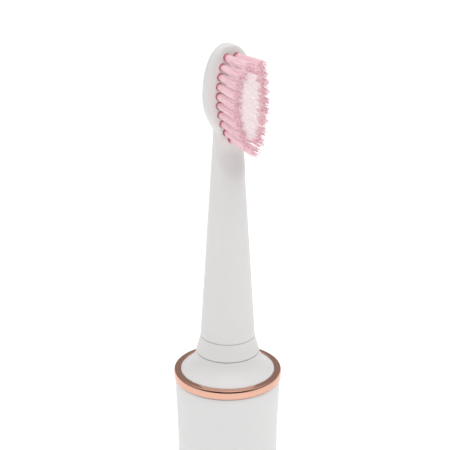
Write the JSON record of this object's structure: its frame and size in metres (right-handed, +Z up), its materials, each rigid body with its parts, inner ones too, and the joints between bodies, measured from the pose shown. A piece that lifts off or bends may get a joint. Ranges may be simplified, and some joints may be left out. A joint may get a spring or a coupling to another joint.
{
  "type": "electric toothbrush",
  "caption": "Sonic toothbrush standing on a round induction charger, with a pull-off oval brush head, a round power button and a polished metal ring.",
  "frame": {"origin": "centre of the charger's foot, on the surface it stands on", "axes": "+Z up along the handle and the drive shaft; -Y is the front, where the bristles and the power button face; +Y is the back, where the charger's power inlet is"},
  "size_m": [0.058, 0.058, 0.2628],
  "materials": {
    "white_shell": "smooth satin gloss",
    "neck_plastic": "smooth satin",
    "rose_gold": "polished, copper pink",
    "pink_bristle": "fine round nylon filaments",
    "white_bristle": "fine round nylon filaments",
    "steel": "turned or pressed",
    "dark_plastic": "moulded",
    "board_laminate": "solder mask",
    "copper": "wound enamelled wire, or sintered bronze",
    "ferrite": "matt, fine grain",
    "silicone": "soft satin",
    "light_lens": "milky, translucent",
    "cell_can": "printed sleeve over a thin can",
    "foot_rubber": "matt",
    "lead_insulation": "smooth"
  },
  "bodies": {
    "charger": {"charger_base": "white_shell", "charger_board": "board_laminate", "charger_cover": "white_shell", "charger_foot": "foot_rubber", "charger_screw_1": "steel", "charger_screw_2": "steel", "charger_screw_3": "steel", "ferrite_core": "ferrite", "inlet_socket": "steel", "transmit_coil": "copper"},
    "handle": {"battery_cell": "cell_can", "battery_pad": "ferrite", "battery_tab_lower": "steel", "battery_tab_upper": "steel", "board_screw_lower": "steel", "board_screw_upper": "steel", "bottom_cap": "white_shell", "bottom_cap_seal": "silicone", "centring_spring": "steel", "chassis": "dark_plastic", "circuit_board": "board_laminate", "coil_lead_left": "lead_insulation", "coil_lead_right": "lead_insulation", "controller_chip": "ferrite", "handle_housing": "white_shell", "lower_bearing": "copper", "mode_led_1": "light_lens", "mode_led_2": "light_lens", "mode_led_3": "light_lens", "mode_led_4": "light_lens", "mode_lens_1": "light_lens", "mode_lens_2": "light_lens", "mode_lens_3": "light_lens", "mode_lens_4": "light_lens", "motor_can": "steel", "motor_damper": "foot_rubber", "motor_end_cap": "dark_plastic", "motor_lead_left": "lead_insulation", "motor_lead_right": "lead_insulation", "receiver_coil": "copper", "seal_retainer": "dark_plastic", "shaft_seal": "silicone", "shoulder_cap": "white_shell", "stator_coil": "copper", "tact_switch": "dark_plastic", "trim_ring": "rose_gold", "upper_bearing": "copper"},
    "button": {"power_button": "white_shell", "switch_plunger": "silicone"},
    "drive": {"drive_shaft": "steel", "rotor_magnet": "ferrite"},
    "brush_head": {"brush_head_shell": "neck_plastic", "head_collar_ring": "neck_plastic", "shaft_coupling": "dark_plastic", "outer_bristles": "pink_bristle", "inner_bristles": "white_bristle"}
  },
  "joints": [
    {"name": "handle_lift", "type": "slide", "parent": "charger", "child": "handle", "axis": [0, 0, 1], "range_m": [0, 0.04]},
    {"name": "power_button_press", "type": "slide", "parent": "handle", "child": "button", "axis": [0, 1, 0], "range_m": [0, 0.0004], "stiffness_N_per_m": 4000},
    {"name": "drive_swing", "type": "hinge", "parent": "handle", "child": "drive", "pos_m": [0, 0, 0.18], "axis": [0, 0, 1], "range_deg": [-5, 5], "stiffness_Nm_per_rad": 0.3},
    {"name": "brush_head_pull", "type": "slide", "parent": "drive", "child": "brush_head", "axis": [0, 0, 1], "range_m": [0, 0.025]}
  ]
}
